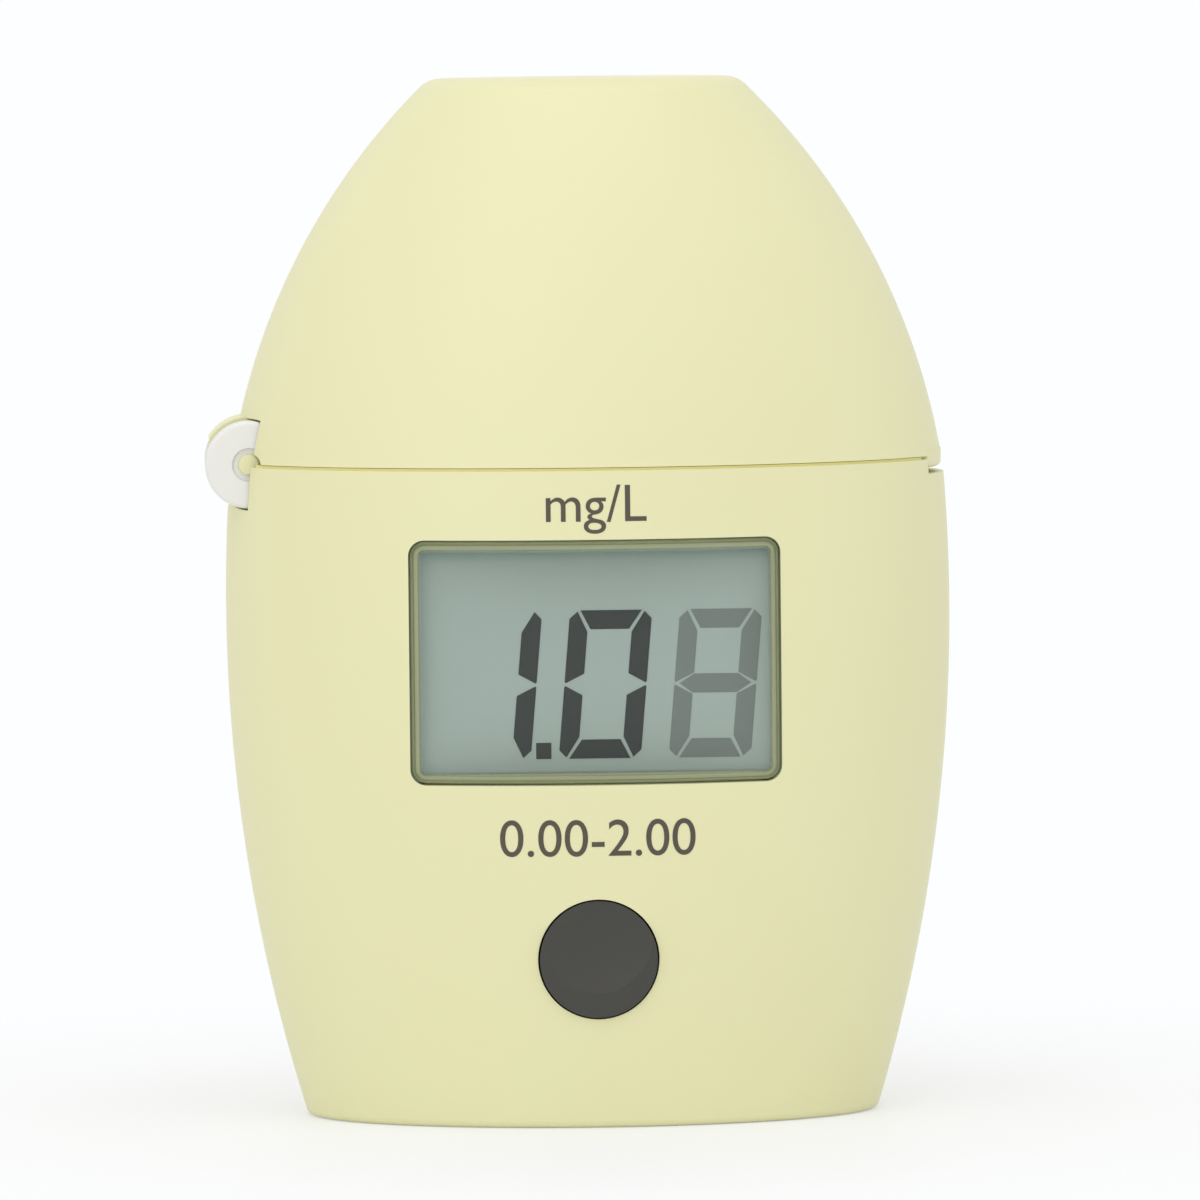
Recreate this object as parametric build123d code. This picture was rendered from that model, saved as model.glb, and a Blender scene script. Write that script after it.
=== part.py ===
from build123d import *
import os
from math import cos, hypot, radians, sin, sqrt

os.makedirs("parts", exist_ok=True)

# Portable colorimeter: an egg-shaped hand meter that stands on its flat base.
# Millimetres. +Z up, front towards -Y, origin at the middle of the base face.

# The AAA cell across the base and the vial in the well, which the case is sized around
CELL_LENGTH = 43.6
CELL_END_ROOM = 8.1
WELL_RADIUS = 12.4
WELL_SIDE_ROOM = 6.35

# Outer form: every level section is an ellipse whose half width follows two arcs
WIDEST_HALF = CELL_LENGTH / 2 + CELL_END_ROOM
HALF_DEPTH = WELL_RADIUS + WELL_SIDE_ROOM
WIDEST_Z = 42.0
SIDE_RADIUS = 142.5
LID_STEP = 0.11
LID_TOP_HALF = 12.72
LID_BULGE = 2.91
HEIGHT = 85.5
BODY_TOP = 53.9
PARTING_GAP = 0.25
LID_CROWN_ROUND = 2.4
BASE_ROUND = 0.7
WALL = 1.7
FLOOR_WALL = 1.7
SECTIONS = 8
FAR = 100.0

# Hinge on the left side
HINGE_INSET = 1.5
HINGE_Z = 54.1
HINGE_RADIUS = 3.6
NOSE_RADIUS = 3.85
KNUCKLE_RADIUS = 3.1
HINGE_HALF_LENGTH = 5.8
KNUCKLE_HALF_LENGTH = 3.4
HINGE_GAP = 0.25
EAR_CLEARANCE = 0.15
PIN_RADIUS = 0.9
PIN_CLEARANCE = 0.05
HUB_RADIUS = 1.4
HUB_RECESS = 0.35
EAR_ROUND = 0.35
STOP_NOSE_START = 40.0
STOP_NOSE_END = 148.0
STOP_SLACK = 2.0
STOP_WIDTH = 50.0
LID_OPENING = 95.0
FOOT_THICKNESS = 2.2
FOOT_HEIGHT = 7.5

# Thumb lip on the right side
LIP_HALF_LENGTH = 5.7
LIP_DROP = 1.0
LIP_GAP = 0.45
LIP_ROUND = 0.5

# Deck and cell well
DECK_THICKNESS = 1.6
DECK_SEAT = 1.0
FIT_GAP = 0.1
LIGHT_RIM_INSET = 2.7
LIGHT_RIM_WALL = 1.1
LIGHT_RIM_HEIGHT = 1.2
WELL_BOARD_GAP = 0.2
WELL_WALL = 0.75
WELL_DEPTH = 36.0
WELL_FLOOR = 1.2
WELL_FLANGE = 0.9
WELL_FLANGE_HEIGHT = 0.8
INDEX_WIDTH = 2.0
INDEX_LENGTH = 1.2

# Light path across the well
BEAM_Z = 31.0
PORT_RADIUS = 2.0
COLLAR_RADIUS = 3.9
COLLAR_REACH = 17.4
LED_RADIUS = 2.45
LED_FLANGE_RADIUS = 2.9
LED_FLANGE = 0.8
LED_POCKET_DEPTH = 4.2
SENSOR_SIDE = 4.6
SENSOR_THICKNESS = 1.6
SIDE_BOARD_THICKNESS = 1.0
SIDE_BOARD_WIDTH = 10.0
SIDE_BOARD_HEIGHT = 7.0

# Window, display and main board
WINDOW_WIDTH = 30.3
WINDOW_HEIGHT = 20.0
WINDOW_Z = 38.3
WINDOW_CORNER = 1.3
WINDOW_EDGE = 0.93
WINDOW_BEVEL = 0.7
WINDOW_INSET = 0.12
DISPLAY_SIDE_BORDER = 1.35
DISPLAY_END_BORDER = 0.7
DISPLAY_THICKNESS = 1.4
DISPLAY_LEDGE = 0.9
STRIP_THICKNESS = 0.9
STRIP_HEIGHT = 1.8
BOARD_THICKNESS = 1.2
BOARD_SIDE_BORDER = 0.9
BOARD_BOTTOM = 6.5
BOARD_TOP_GAP = 0.5
BOARD_POST_RADIUS = 1.3
BOARD_SCREW_RADIUS = 0.7
BOARD_SCREW_HEAD = 1.4
BOARD_SCREW_INSET = (3.9, 2.2)
BOARD_SCREW_OFFSET = (5.6, 1.5)

# Button
BUTTON_Z = 14.0
BUTTON_RADIUS = 4.8
BUTTON_GAP = 0.15
BUTTON_PROUD = 0.35
BUTTON_DISH_RADIUS = 22.0
BUTTON_DISH_DEPTH = 0.55
BUTTON_FLANGE_RADIUS = 6.0
BUTTON_SINK = 3.0
BUTTON_FLANGE = 0.7
BUTTON_TRAVEL = 0.45
BUTTON_COLLAR_WALL = 1.8
SWITCH_SIDE = 5.2

# One AAA cell lying across the base
CELL_RADIUS = 5.25
CELL_NUB_RADIUS = 1.9
CELL_NUB = 0.8
CELL_Z = 7.9
CONTACT_SIDE = 5.6
CONTACT_THICKNESS = 0.4
CRADLE_X = 12.0
CRADLE_THICKNESS = 1.4

# Battery cover low on the back
COVER_SIDE_INSET = 7.5
COVER_BOTTOM = 2.6
COVER_TOP = 18.2
COVER_GAP = 0.15
COVER_SCREW_INSET = 4.8
COVER_SCREW_Z = 15.8

# Case screws, driven from the back into posts on the front shell
SCREW_INSET = 9.5
SCREW_Z = (24.0, 45.6)
SCREW_SHANK = 1.0
SCREW_HEAD = 2.0
SCREW_HEAD_HEIGHT = 1.3
SCREW_REACH = 6.5
SCREW_SLOT = 0.5
POST_RADIUS = 2.5
SEAT_DEPTH = 7.0
COVER_SEAT = 8.2
COVER_SCREW_SEAT = 0.3
COVER_SCREW_LENGTH = 6.7

DEPTH_SHARE = HALF_DEPTH / WIDEST_HALF
LID_BOTTOM = BODY_TOP + PARTING_GAP


def side_half_width(z):
    """Half width of the case below the parting line."""
    return WIDEST_HALF - SIDE_RADIUS + sqrt(SIDE_RADIUS ** 2 - (z - WIDEST_Z) ** 2)


def depth_at(x, z):
    """Distance from the middle plane to the case's front at this place."""
    wide = side_half_width(z)
    return wide * DEPTH_SHARE * sqrt(1 - (x / wide) ** 2)


def outward_arc(low, high, bulge):
    """Centre and radius of the arc through two points, half width and height, that bulges outwards."""
    across, up = low[0] - high[0], high[1] - low[1]
    chord = hypot(across, up)
    radius = (chord ** 2 / 4 + bulge ** 2) / (2 * bulge)
    back = (radius - bulge) / chord
    return (low[0] + high[0]) / 2 - back * up, (low[1] + high[1]) / 2 - back * across, radius


LID_ARC = outward_arc(
    (side_half_width(BODY_TOP) - LID_STEP, LID_BOTTOM), (LID_TOP_HALF, HEIGHT), LID_BULGE
)


def lid_half_width(z):
    """Half width of the lid above the parting line."""
    arc_x, arc_z, radius = LID_ARC
    return arc_x + sqrt(radius ** 2 - (z - arc_z) ** 2)


HINGE_X = HINGE_INSET - side_half_width(BODY_TOP)
SCREW_X = WIDEST_HALF - SCREW_INSET
COVER_HALF_WIDTH = WIDEST_HALF - COVER_SIDE_INSET
COVER_SCREW_X = COVER_HALF_WIDTH - COVER_SCREW_INSET

WINDOW_BACK = depth_at(WINDOW_WIDTH / 2, WINDOW_Z - WINDOW_HEIGHT / 2) - WINDOW_EDGE
DISPLAY_WIDTH = WINDOW_WIDTH + 2 * DISPLAY_SIDE_BORDER
DISPLAY_HEIGHT = WINDOW_HEIGHT + 2 * DISPLAY_END_BORDER
BOARD_FRONT = WINDOW_BACK - FIT_GAP - DISPLAY_THICKNESS - STRIP_THICKNESS
BOARD_BACK = BOARD_FRONT - BOARD_THICKNESS
BOARD_HALF_WIDTH = DISPLAY_WIDTH / 2 + BOARD_SIDE_BORDER
BOARD_TOP = BODY_TOP - DECK_THICKNESS - BOARD_TOP_GAP
BOARD_SCREW_X = [BOARD_HALF_WIDTH - inset for inset in BOARD_SCREW_INSET]
BOARD_SCREW_Z = [
    WINDOW_Z - DISPLAY_HEIGHT / 2 - BOARD_SCREW_OFFSET[0],
    WINDOW_Z + DISPLAY_HEIGHT / 2 + BOARD_SCREW_OFFSET[1],
]
BUTTON_FLANGE_FRONT = depth_at(0, BUTTON_Z) - BUTTON_SINK

WELL_OUTER = WELL_RADIUS + WELL_WALL
WELL_BOTTOM = BODY_TOP + WELL_FLANGE_HEIGHT - WELL_DEPTH
WELL_Y = WELL_OUTER + WELL_BOARD_GAP - BOARD_BACK


def egg(half_width, bottom, top, inset):
    """Solid through level ellipses, drawn in from the outer surface by inset."""
    rings = []
    for i in range(SECTIONS + 1):
        z = bottom + (top - bottom) * i / SECTIONS
        wide = half_width(z)
        ring = Ellipse(wide - inset, wide * DEPTH_SHARE - inset)
        rings.append(Pos(0, 0, z) * ring)
    return loft(rings)


def case_form(inset, bottom=0.0, top=BODY_TOP):
    return egg(side_half_width, bottom, top, inset)


def lid_form(inset, bottom=LID_BOTTOM, top=HEIGHT):
    return egg(lid_half_width, bottom, top, inset)


def block(x0, x1, y0, y1, z0, z1):
    """Box between two corners."""
    size = Box(x1 - x0, y1 - y0, z1 - z0, align=(Align.MIN, Align.MIN, Align.MIN))
    return Pos(x0, y0, z0) * size


def rod_y(radius, y0, y1, x, z):
    """Cylinder along Y from y0 to y1."""
    rod = Cylinder(radius, y1 - y0, align=(Align.CENTER, Align.CENTER, Align.MIN))
    return Pos(x, y0, z) * Rot(-90, 0, 0) * rod


def rod_x(radius, x0, x1, y, z):
    """Cylinder along X from x0 to x1."""
    rod = Cylinder(radius, x1 - x0, align=(Align.CENTER, Align.CENTER, Align.MIN))
    return Pos(x0, y, z) * Rot(0, 90, 0) * rod


def rod_z(radius, z0, z1, x, y):
    """Cylinder along Z from z0 to z1."""
    rod = Cylinder(radius, z1 - z0, align=(Align.CENTER, Align.CENTER, Align.MIN))
    return Pos(x, y, z0) * rod


def hinge_rod(radius, y0, y1):
    return rod_y(radius, y0, y1, HINGE_X, HINGE_Z)


def hinge_sector(radius, y0, y1, start, end):
    """Pie slice about the hinge axis, angles counted up from +X as seen from the front."""
    at = [(radius * cos(radians(a)), radius * sin(radians(a))) for a in (start, (start + end) / 2, end)]
    with BuildSketch(Plane.XZ.offset(-y1)) as slice_sketch:
        with BuildLine():
            Line((0, 0), at[0])
            ThreePointArc(*at)
            Line(at[2], (0, 0))
        make_face()
    return Pos(HINGE_X, 0, HINGE_Z) * extrude(slice_sketch.sketch, y1 - y0)


def case_outer():
    """Outer form of the case, with its base edge rounded."""
    form = case_form(0)
    return fillet(form.faces().sort_by(Axis.Z)[0].edges(), BASE_ROUND)


CASE_OUTER = case_outer()
CASE_INNER = case_form(WALL, FLOOR_WALL, BODY_TOP)
POST_LIMIT = case_form(WALL * 0.6)
EAR_GAP = KNUCKLE_HALF_LENGTH + HINGE_GAP
NOTCH_HALF_LENGTH = HINGE_HALF_LENGTH + HINGE_GAP
NOTCH_RADIUS = HINGE_RADIUS + EAR_CLEARANCE
SWING_RADIUS = NOSE_RADIUS + HINGE_GAP
STOP_FACE = STOP_NOSE_END + LID_OPENING + STOP_SLACK
WINDOW_SHAPE = (WINDOW_WIDTH, WINDOW_HEIGHT, WINDOW_CORNER)
CASE_SCREWS = [(side * SCREW_X, z) for side in (-1, 1) for z in SCREW_Z]
BOARD_SCREWS = [(side * x, z) for side in (-1, 1) for x, z in zip(BOARD_SCREW_X, BOARD_SCREW_Z)]


def lip_core(low, gap):
    """Upright form just inside the lid's side wall at the parting line."""
    wide = lid_half_width(LID_BOTTOM)
    inset = WALL + gap
    core = Ellipse(wide - inset, wide * DEPTH_SHARE - inset)
    return Pos(0, 0, low) * extrude(core, LIP_DROP + 4)


def hinge_notch():
    """Room in the case for the ears and the swinging knuckle, with the lid's stop left standing."""
    notch = hinge_rod(NOTCH_RADIUS, -NOTCH_HALF_LENGTH, NOTCH_HALF_LENGTH)
    notch += hinge_rod(SWING_RADIUS, -EAR_GAP, EAR_GAP)
    stop = hinge_sector(SWING_RADIUS + 1, -EAR_GAP, EAR_GAP, STOP_FACE, STOP_FACE + STOP_WIDTH)
    stop -= hinge_rod(KNUCKLE_RADIUS + HINGE_GAP, -EAR_GAP, EAR_GAP)
    return notch - stop


def lip_notch():
    """Room in the case for the thumb lip of the lid."""
    half = LIP_HALF_LENGTH + HINGE_GAP
    floor = LID_BOTTOM - LIP_DROP - LIP_GAP
    return block(0, FAR, -half, half, floor, BODY_TOP + 2) - lip_core(floor - 1, LIP_GAP)


HINGE_NOTCH = hinge_notch()
LIP_NOTCH = lip_notch()


def shell_blank():
    """Hollow case, open at the top, with a step that the deck sits on."""
    rim = side_half_width(BODY_TOP) - DECK_SEAT
    seat = Ellipse(rim, side_half_width(BODY_TOP) * DEPTH_SHARE - DECK_SEAT)
    seat_cut = Pos(0, 0, BODY_TOP - DECK_THICKNESS) * extrude(seat, DECK_THICKNESS + 1)
    return CASE_OUTER - CASE_INNER - seat_cut - HINGE_NOTCH - LIP_NOTCH


def window_prism(width, height, corner, y0, y1):
    """Rounded rectangle at the window, run along Y."""
    outline = Plane.XZ.offset(-y1) * RectangleRounded(width, height, corner)
    return Pos(0, 0, WINDOW_Z) * extrude(outline, y1 - y0)


def front_shell():
    shell = shell_blank() & block(-FAR, FAR, -FAR, 0, -FAR, FAR)
    for x, z in CASE_SCREWS:
        shell += rod_y(POST_RADIUS, -FAR, 0, x, z) & POST_LIMIT
    shell += rod_y(POST_RADIUS, -FAR, COVER_SEAT - WALL, COVER_SCREW_X, COVER_SCREW_Z) & POST_LIMIT
    for x, z in BOARD_SCREWS:
        shell += rod_y(BOARD_POST_RADIUS, -FAR, -BOARD_FRONT, x, z) & POST_LIMIT
    collar = BUTTON_RADIUS + BUTTON_COLLAR_WALL
    shell += rod_y(collar, -FAR, -BUTTON_FLANGE_FRONT - FIT_GAP, 0, BUTTON_Z) & POST_LIMIT
    for side in (-1, 1):
        x = side * CRADLE_X
        half = CRADLE_THICKNESS / 2
        rib = block(x - half, x + half, -FAR, 0, FLOOR_WALL * 0.3, CELL_Z + CELL_RADIUS * 0.7)
        rib -= block(-FAR, FAR, -FAR, WELL_BOARD_GAP - BOARD_BACK, BOARD_BOTTOM - 0.4, FAR)
        shell += rib & POST_LIMIT
    shell -= rod_x(CELL_RADIUS + FIT_GAP, -CELL_LENGTH / 2 - 1, CELL_LENGTH / 2 + 1, 0, CELL_Z)
    shell -= window_prism(*WINDOW_SHAPE, -FAR, 0)
    half_w, half_h = DISPLAY_WIDTH / 2 + FIT_GAP, DISPLAY_HEIGHT / 2 + FIT_GAP
    shell -= block(-half_w, half_w, -WINDOW_BACK, -BOARD_FRONT, WINDOW_Z - half_h, WINDOW_Z + half_h)
    shell -= rod_y(BUTTON_RADIUS + BUTTON_GAP, -FAR, -BOARD_FRONT, 0, BUTTON_Z)
    bite = SCREW_SHANK + PIN_CLEARANCE
    for x, z in CASE_SCREWS:
        shell -= rod_y(bite, -SCREW_REACH, 1, x, z)
    shell -= rod_y(bite, -SCREW_REACH, COVER_SEAT, COVER_SCREW_X, COVER_SCREW_Z)
    for x, z in BOARD_SCREWS:
        shell -= rod_y(BOARD_SCREW_RADIUS + PIN_CLEARANCE, -BOARD_FRONT - 1.6, -BOARD_FRONT + 1, x, z)
    return shell


def cover_gate(gap):
    """Straight passage through the back wall, with the battery cover's outline."""
    half = COVER_HALF_WIDTH + gap
    return block(-half, half, WELL_BOARD_GAP, FAR, COVER_BOTTOM - gap, COVER_TOP + gap)


def rear_shell():
    shell = shell_blank() & block(-FAR, FAR, 0, FAR, -FAR, FAR)
    shell -= cover_gate(COVER_GAP)
    for x, z in CASE_SCREWS:
        shell += rod_y(POST_RADIUS + WALL * 0.4, 0, FAR, x, z) & POST_LIMIT
    for x, z in CASE_SCREWS:
        shell -= rod_y(SCREW_HEAD + FIT_GAP, SEAT_DEPTH, FAR, x, z)
        shell -= rod_y(SCREW_SHANK + FIT_GAP, -1, SEAT_DEPTH + 1, x, z)
    return shell


def screw(radius, head_radius, head_height, seat_y, reach_y, x, z):
    """Pan-head screw entering from the back, with a cross recess."""
    body = rod_y(radius, reach_y, seat_y + 0.1, x, z)
    body += rod_y(head_radius, seat_y, seat_y + head_height, x, z)
    long, short = head_radius * 0.55, SCREW_SLOT / 2 * head_radius / SCREW_HEAD
    top, low = seat_y + head_height + 1, seat_y + head_height * 0.45
    cross = block(x - long, x + long, low, top, z - short, z + short)
    cross += block(x - short, x + short, low, top, z - long, z + long)
    body -= cross
    edge = body.edges().filter_by(GeomType.CIRCLE).sort_by(Axis.Y)[-1]
    return fillet(edge, head_height * 0.3)


def case_screws():
    return Compound(children=[
        screw(SCREW_SHANK, SCREW_HEAD, SCREW_HEAD_HEIGHT, SEAT_DEPTH, -SCREW_REACH + 0.5, x, z)
        for x, z in CASE_SCREWS
    ])


def board_screws():
    screws = []
    for x, z in BOARD_SCREWS:
        screws.append(screw(
            BOARD_SCREW_RADIUS, BOARD_SCREW_HEAD, 0.8, -BOARD_BACK, -BOARD_FRONT - 1.4, x, z
        ))
    return Compound(children=screws)


def battery_cover():
    cover = (CASE_OUTER - CASE_INNER) & cover_gate(0)
    pad = rod_y(SCREW_HEAD + WALL, COVER_SEAT - WALL + FIT_GAP, FAR, COVER_SCREW_X, COVER_SCREW_Z)
    cover += pad & POST_LIMIT & cover_gate(0)
    cover -= rod_y(SCREW_HEAD + FIT_GAP, COVER_SEAT + COVER_SCREW_SEAT, FAR, COVER_SCREW_X, COVER_SCREW_Z)
    cover -= rod_y(SCREW_SHANK + FIT_GAP, 0, FAR, COVER_SCREW_X, COVER_SCREW_Z)
    return cover


def cover_screw():
    seat = COVER_SEAT + COVER_SCREW_SEAT
    tip = COVER_SEAT - COVER_SCREW_LENGTH
    return screw(SCREW_SHANK, SCREW_HEAD, SCREW_HEAD_HEIGHT, seat, tip, COVER_SCREW_X, COVER_SCREW_Z)


def top_deck():
    rim = side_half_width(BODY_TOP)
    low = BODY_TOP - DECK_THICKNESS
    seat = DECK_SEAT + FIT_GAP
    deck = Pos(0, 0, low) * extrude(Ellipse(rim - seat, rim * DEPTH_SHARE - seat), DECK_THICKNESS)
    wide, inside = LIGHT_RIM_INSET, LIGHT_RIM_INSET + LIGHT_RIM_WALL
    ring = Ellipse(rim - wide, rim * DEPTH_SHARE - wide)
    ring -= Ellipse(rim - inside, rim * DEPTH_SHARE - inside)
    deck += Pos(0, 0, BODY_TOP - 0.5) * extrude(ring, LIGHT_RIM_HEIGHT + 0.5)
    deck -= rod_z(WELL_OUTER + FIT_GAP, 0, FAR, 0, WELL_Y)
    flange = WELL_OUTER + WELL_FLANGE + FIT_GAP
    deck -= rod_z(flange, BODY_TOP, FAR, 0, WELL_Y)
    return deck - HINGE_NOTCH - LIP_NOTCH


def sample_well():
    """Black well for the sample vial, with a light port on each side and a flange on the deck."""
    holder = rod_z(WELL_OUTER, WELL_BOTTOM - WELL_FLOOR, BODY_TOP + 0.2, 0, WELL_Y)
    holder += rod_z(WELL_OUTER + WELL_FLANGE, BODY_TOP, BODY_TOP + WELL_FLANGE_HEIGHT, 0, WELL_Y)
    holder += rod_x(COLLAR_RADIUS, -COLLAR_REACH, COLLAR_REACH, WELL_Y, BEAM_Z)
    holder -= rod_z(WELL_RADIUS, WELL_BOTTOM, FAR, 0, WELL_Y)
    holder -= rod_x(PORT_RADIUS, -COLLAR_REACH, COLLAR_REACH, WELL_Y, BEAM_Z)
    holder -= rod_x(LED_RADIUS + FIT_GAP, -FAR, -COLLAR_REACH + LED_POCKET_DEPTH, WELL_Y, BEAM_Z)
    half = SENSOR_SIDE / 2 + FIT_GAP
    holder -= block(
        COLLAR_REACH - SENSOR_THICKNESS, FAR, WELL_Y - half, WELL_Y + half, BEAM_Z - half, BEAM_Z + half
    )
    mark_y = WELL_Y - WELL_OUTER - WELL_FLANGE
    holder -= block(
        -INDEX_WIDTH / 2, INDEX_WIDTH / 2, mark_y - 1, mark_y + INDEX_LENGTH,
        BODY_TOP + WELL_FLANGE_HEIGHT / 2, FAR
    )
    rim = holder.edges().filter_by(GeomType.CIRCLE).group_by(Axis.Z)[-1]
    inner_rim = [e for e in rim if e.radius < WELL_OUTER]
    return chamfer(inner_rim, WELL_WALL * 0.5)


def led_lamp():
    """Round-nosed lamp with a flange, turned about the light path."""
    base = -COLLAR_REACH - LED_FLANGE
    flange = -COLLAR_REACH - FIT_GAP
    tip = -COLLAR_REACH + LED_POCKET_DEPTH - FIT_GAP
    shoulder = tip - LED_RADIUS
    halfway = LED_RADIUS * sqrt(0.5)
    outline = Polyline(
        (tip, 0), (base, 0), (base, LED_FLANGE_RADIUS), (flange, LED_FLANGE_RADIUS),
        (flange, LED_RADIUS), (shoulder, LED_RADIUS)
    )
    outline += ThreePointArc((shoulder, LED_RADIUS), (shoulder + halfway, halfway), (tip, 0))
    return Pos(0, WELL_Y, BEAM_Z) * revolve(make_face(outline), Axis.X)


def side_board(side):
    """Small upright board behind the lamp (side -1) or the light sensor (side 1)."""
    near = COLLAR_REACH + (LED_FLANGE if side < 0 else FIT_GAP)
    x0, x1 = sorted((side * near, side * (near + SIDE_BOARD_THICKNESS)))
    half_w, half_h = SIDE_BOARD_WIDTH / 2, SIDE_BOARD_HEIGHT / 2
    return block(x0, x1, WELL_Y - half_w, WELL_Y + half_w, BEAM_Z - half_h, BEAM_Z + half_h)


def light_sensor():
    half = SENSOR_SIDE / 2
    body = block(
        COLLAR_REACH - SENSOR_THICKNESS + FIT_GAP, COLLAR_REACH + FIT_GAP,
        WELL_Y - half, WELL_Y + half, BEAM_Z - half, BEAM_Z + half
    )
    eye_back = COLLAR_REACH - SENSOR_THICKNESS + FIT_GAP * 3
    return body - rod_x(PORT_RADIUS * 0.8, 0, eye_back, WELL_Y, BEAM_Z)


def window():
    """Clear window whose face follows the case, bevelled all round."""
    gap = WINDOW_INSET
    block_shape = window_prism(
        WINDOW_WIDTH - 2 * gap, WINDOW_HEIGHT - 2 * gap, WINDOW_CORNER, -FAR, -WINDOW_BACK + 0.02
    )
    pane = block_shape & case_form(gap)
    front = pane.faces().sort_by(Axis.Y)[0]
    return chamfer(front.edges(), WINDOW_BEVEL)


def display_glass():
    back = -WINDOW_BACK + FIT_GAP + DISPLAY_THICKNESS
    half_w, half_h = DISPLAY_WIDTH / 2, DISPLAY_HEIGHT / 2
    front = back - DISPLAY_THICKNESS
    low = WINDOW_Z - half_h
    plate = block(-half_w, half_w, front, back, low, WINDOW_Z + half_h)
    ledge_cut = block(
        -half_w, half_w, front - 1, front + DISPLAY_THICKNESS / 2, low - 1, low + DISPLAY_LEDGE
    )
    return plate - ledge_cut


def display_strips():
    """Two rubber connector strips between the display and the board."""
    front = -WINDOW_BACK + FIT_GAP + DISPLAY_THICKNESS
    half_w = DISPLAY_WIDTH / 2 - 1
    strips = []
    for side in (-1, 1):
        middle = WINDOW_Z + side * (DISPLAY_HEIGHT / 2 - STRIP_HEIGHT / 2)
        strips.append(block(
            -half_w, half_w, front, -BOARD_FRONT, middle - STRIP_HEIGHT / 2, middle + STRIP_HEIGHT / 2
        ))
    return Compound(children=strips)


def main_board():
    board = block(
        -BOARD_HALF_WIDTH, BOARD_HALF_WIDTH, -BOARD_FRONT, -BOARD_BACK, BOARD_BOTTOM, BOARD_TOP
    ) & case_form(WALL + 0.3)
    for x, z in BOARD_SCREWS:
        board -= rod_y(BOARD_SCREW_RADIUS + FIT_GAP, -FAR, 0, x, z)
    for x, z in CASE_SCREWS:
        board -= rod_y(POST_RADIUS + 0.3, -FAR, 0, x, z)
    return board - rod_y(POST_RADIUS + 0.3, -FAR, 0, COVER_SCREW_X, COVER_SCREW_Z)


def board_chips():
    """Controller, amplifier and a few small parts on the back of the board."""
    chips = []
    for x, z, wide, tall, thick in (
        (-13.0, 36.0, 5.0, 7.0, 1.4), (13.0, 38.0, 4.4, 5.0, 1.0), (12.5, 29.0, 3.0, 3.0, 1.0),
        (-12.5, 27.5, 3.2, 2.6, 1.0), (-13.5, 44.0, 3.0, 4.0, 2.0), (0.0, 13.0, 6.0, 4.0, 1.6)
    ):
        chips.append(block(
            x - wide / 2, x + wide / 2, -BOARD_BACK, -BOARD_BACK + thick, z - tall / 2, z + tall / 2
        ))
    return Compound(children=chips)


def key_switch():
    half = SWITCH_SIDE / 2
    front = BUTTON_FLANGE_FRONT - BUTTON_FLANGE - BUTTON_TRAVEL - 0.05
    base = block(-half, half, -front + 0.2, -BOARD_FRONT, BUTTON_Z - half, BUTTON_Z + half)
    return base + rod_y(SWITCH_SIDE * 0.3, -front, -front + 0.3, 0, BUTTON_Z)


def button_cap():
    back = -BUTTON_FLANGE_FRONT + BUTTON_FLANGE
    cap = rod_y(BUTTON_RADIUS, -FAR, back, 0, BUTTON_Z) & case_form(-BUTTON_PROUD)
    crown = side_half_width(BUTTON_Z) * DEPTH_SHARE + BUTTON_PROUD
    dish_y = -crown - BUTTON_DISH_RADIUS + BUTTON_DISH_DEPTH
    cap -= Pos(0, dish_y, BUTTON_Z) * Sphere(BUTTON_DISH_RADIUS)
    cap += rod_y(BUTTON_FLANGE_RADIUS, -BUTTON_FLANGE_FRONT, back, 0, BUTTON_Z)
    return cap


def battery_cell():
    half = CELL_LENGTH / 2
    cell = rod_x(CELL_RADIUS - 0.05, -half, half - 0.4, 0, CELL_Z)
    cell = fillet(cell.edges().filter_by(GeomType.CIRCLE), 0.5)
    return cell + rod_x(CELL_NUB_RADIUS, half - 0.5, half - 0.4 + CELL_NUB, 0, CELL_Z)


def cell_contact(side):
    """Sprung plate against one end of the cell."""
    half = CONTACT_SIDE / 2
    near = CELL_LENGTH / 2 + (0.45 if side > 0 else 0.1)
    x0, x1 = sorted((side * near, side * (near + CONTACT_THICKNESS)))
    plate = block(x0, x1, -half, half, CELL_Z - half, CELL_Z + half)
    tail = block(x0, x1, -half - 1.2, -half, CELL_Z - half / 2, CELL_Z + half / 2)
    return plate + tail


def hinge_bracket():
    """White bracket held in the case: two ears on a foot that stands behind the side wall."""
    ears = []
    for y0, y1, outer in ((-HINGE_HALF_LENGTH, -EAR_GAP, 0), (EAR_GAP, HINGE_HALF_LENGTH, -1)):
        ear = hinge_rod(HINGE_RADIUS, y0, y1)
        rim = ear.edges().filter_by(GeomType.CIRCLE).sort_by(Axis.Y)[outer]
        ears.append(fillet(rim, EAR_ROUND))
    top = BODY_TOP - DECK_THICKNESS - FIT_GAP
    inner = case_form(WALL + FIT_GAP, FLOOR_WALL, BODY_TOP)
    right = -side_half_width(BODY_TOP) + WALL + FIT_GAP + FOOT_THICKNESS + 1.2
    foot = block(-FAR, right, -HINGE_HALF_LENGTH, HINGE_HALF_LENGTH, top - FOOT_HEIGHT, top) & inner
    foot -= hinge_rod(KNUCKLE_RADIUS + HINGE_GAP, -EAR_GAP, EAR_GAP)
    foot -= hinge_sector(SWING_RADIUS, -EAR_GAP, EAR_GAP, STOP_NOSE_START - 10, STOP_FACE)
    bracket = foot + ears
    bracket -= hinge_rod(PIN_RADIUS, -HINGE_HALF_LENGTH - 1, HINGE_HALF_LENGTH + 1)
    for y0, y1 in ((-FAR, -HINGE_HALF_LENGTH + HUB_RECESS), (HINGE_HALF_LENGTH - HUB_RECESS, FAR)):
        bracket -= hinge_rod(HUB_RADIUS, y0, y1)
    return bracket


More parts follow.
